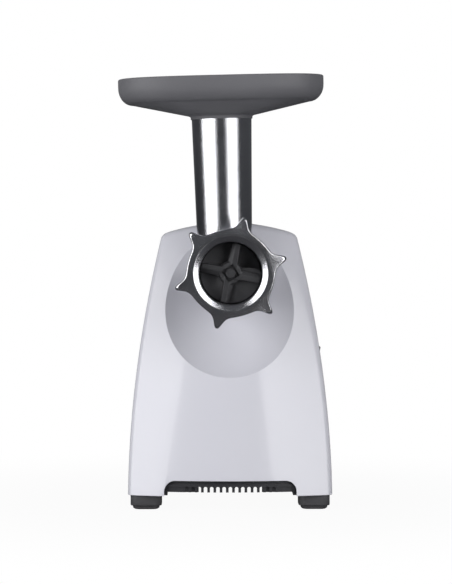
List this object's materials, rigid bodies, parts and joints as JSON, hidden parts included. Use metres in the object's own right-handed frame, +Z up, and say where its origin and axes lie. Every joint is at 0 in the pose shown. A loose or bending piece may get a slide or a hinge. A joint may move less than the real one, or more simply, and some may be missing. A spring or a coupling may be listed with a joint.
{
  "type": "electric meat grinder",
  "caption": "Electric meat grinder: motor and gear train in a glossy housing, screw barrel with ring nut and knife, feed tube and lift-off tray.",
  "frame": {"origin": "middle of the whole object's footprint, on the table top", "axes": "+Z up, -Y the way the barrel's mouth points, +X to the right of someone who looks into the mouth"},
  "size_m": [0.1966, 0.2383, 0.3952],
  "materials": {
    "white_gloss": "glossy white plastic with a faint lilac-grey tone",
    "dark_plastic": "dark grey plastic, satin",
    "tray_plastic": "mid-dark grey plastic with a fine matte grain",
    "polished_aluminium": "polished cast aluminium",
    "cast_grey": "matte grey cast metal",
    "steel": "plain steel",
    "rubber": "dark rubber",
    "nylon": "natural nylon",
    "copper": "copper, enamelled on the coils",
    "carbon": "pressed carbon",
    "lamination": "stacked steel sheets",
    "gearbox_cast": "die-cast metal as it leaves the die",
    "board": "green circuit board",
    "capacitor_sleeve": "blue sleeve"
  },
  "bodies": {
    "housing": {"front_shell": "white_gloss", "rear_shell": "white_gloss", "base_plate": "dark_plastic", "head_socket": "dark_plastic", "switch_bezel": "dark_plastic", "switch_body": "dark_plastic", "cord_gland": "dark_plastic", "foot_front_left": "rubber", "foot_front_right": "rubber", "foot_rear_left": "rubber", "foot_rear_right": "rubber", "housing_screw_lower_left": "steel", "housing_screw_lower_right": "steel", "housing_screw_upper_left": "steel", "housing_screw_upper_right": "steel", "base_screw_front_left": "steel", "base_screw_front_right": "steel", "base_screw_rear_left": "steel", "base_screw_rear_right": "steel", "gearbox_housing": "gearbox_cast", "gearbox_cover": "gearbox_cast", "gearbox_screw_1": "steel", "gearbox_screw_2": "steel", "gearbox_screw_3": "steel", "first_gear_pin": "steel", "second_gear_pin": "steel", "output_bearing": "steel", "motor_bearing_front": "steel", "motor_bearing_rear": "steel", "motor_bracket": "steel", "motor_bolt_1": "steel", "motor_bolt_2": "steel", "stator_core": "lamination", "field_coil_upper": "copper", "field_coil_lower": "copper", "carbon_brush_left": "carbon", "carbon_brush_right": "carbon", "brush_holder_left": "dark_plastic", "brush_holder_right": "dark_plastic", "control_board": "board", "capacitor": "capacitor_sleeve"},
    "rotor": {"armature_shaft": "steel", "armature_core": "lamination", "commutator": "copper", "cooling_fan": "nylon", "motor_pinion": "steel"},
    "first_gear": {"first_gear": "nylon"},
    "second_gear": {"second_gear": "steel"},
    "output": {"output_gear": "steel", "output_shaft": "steel", "drive_coupling": "nylon"},
    "auger": {"auger": "cast_grey"},
    "knife": {"cutting_knife": "cast_grey"},
    "head": {"grinder_head": "polished_aluminium", "auger_bush": "nylon"},
    "ring_nut": {"ring_nut": "polished_aluminium"},
    "hopper": {"hopper_tray": "tray_plastic"},
    "switch_rocker": {"switch_rocker": "dark_plastic"},
    "reverse_button": {"reverse_button": "dark_plastic"},
    "release_button": {"release_button": "dark_plastic"}
  },
  "joints": [
    {"name": "first_gear_spin", "type": "hinge", "parent": "housing", "child": "first_gear", "pos_m": [0.0045, 0.03, 0.1307], "axis": [0, 1, 0], "continuous": true},
    {"name": "rotor_spin", "type": "hinge", "parent": "housing", "child": "rotor", "pos_m": [0.0045, 0, 0.09], "axis": [0, 1, 0], "continuous": true},
    {"name": "second_gear_spin", "type": "hinge", "parent": "housing", "child": "second_gear", "pos_m": [0.0045, 0.03, 0.1707], "axis": [0, 1, 0], "continuous": true},
    {"name": "output_spin", "type": "hinge", "parent": "housing", "child": "output", "pos_m": [0.0045, 0.03, 0.2155], "axis": [0, 1, 0], "continuous": true},
    {"name": "auger_spin", "type": "hinge", "parent": "housing", "child": "auger", "pos_m": [0.0045, -0.06, 0.2155], "axis": [0, 1, 0], "continuous": true},
    {"name": "knife_spin", "type": "hinge", "parent": "housing", "child": "knife", "pos_m": [0.0045, -0.107, 0.2155], "axis": [0, 1, 0], "continuous": true},
    {"name": "head_turn", "type": "hinge", "parent": "housing", "child": "head", "pos_m": [0.0045, 0, 0.2155], "axis": [0, 1, 0], "range_deg": [0, 30]},
    {"name": "ring_nut_turn", "type": "hinge", "parent": "head", "child": "ring_nut", "pos_m": [0.0045, -0.107, 0.2155], "axis": [0, -1, 0], "range_deg": [0, 300]},
    {"name": "hopper_lift", "type": "slide", "parent": "head", "child": "hopper", "axis": [-0.0253, 0, 0.9997], "range_m": [0, 0.06]},
    {"name": "switch_rocker_tilt", "type": "hinge", "parent": "housing", "child": "switch_rocker", "pos_m": [0.08836, 0.0605, 0.1247], "axis": [0, -1, 0], "range_deg": [0, 10]},
    {"name": "reverse_button_press", "type": "slide", "parent": "housing", "child": "reverse_button", "axis": [-0.994, 0, -0.1093], "range_m": [0, 0.003], "stiffness_N_per_m": 300, "springref_m": -0.001},
    {"name": "release_button_press", "type": "slide", "parent": "housing", "child": "release_button", "axis": [0, 0, -1], "range_m": [0, 0.003], "stiffness_N_per_m": 400, "springref_m": -0.001}
  ],
  "couplings": [
    {"joint": "rotor_spin", "follows": "first_gear_spin", "ratio": -4.2857},
    {"joint": "second_gear_spin", "follows": "first_gear_spin", "ratio": -0.28},
    {"joint": "output_spin", "follows": "first_gear_spin", "ratio": 0.093333},
    {"joint": "auger_spin", "follows": "first_gear_spin", "ratio": 0.093333},
    {"joint": "knife_spin", "follows": "first_gear_spin", "ratio": 0.093333}
  ]
}
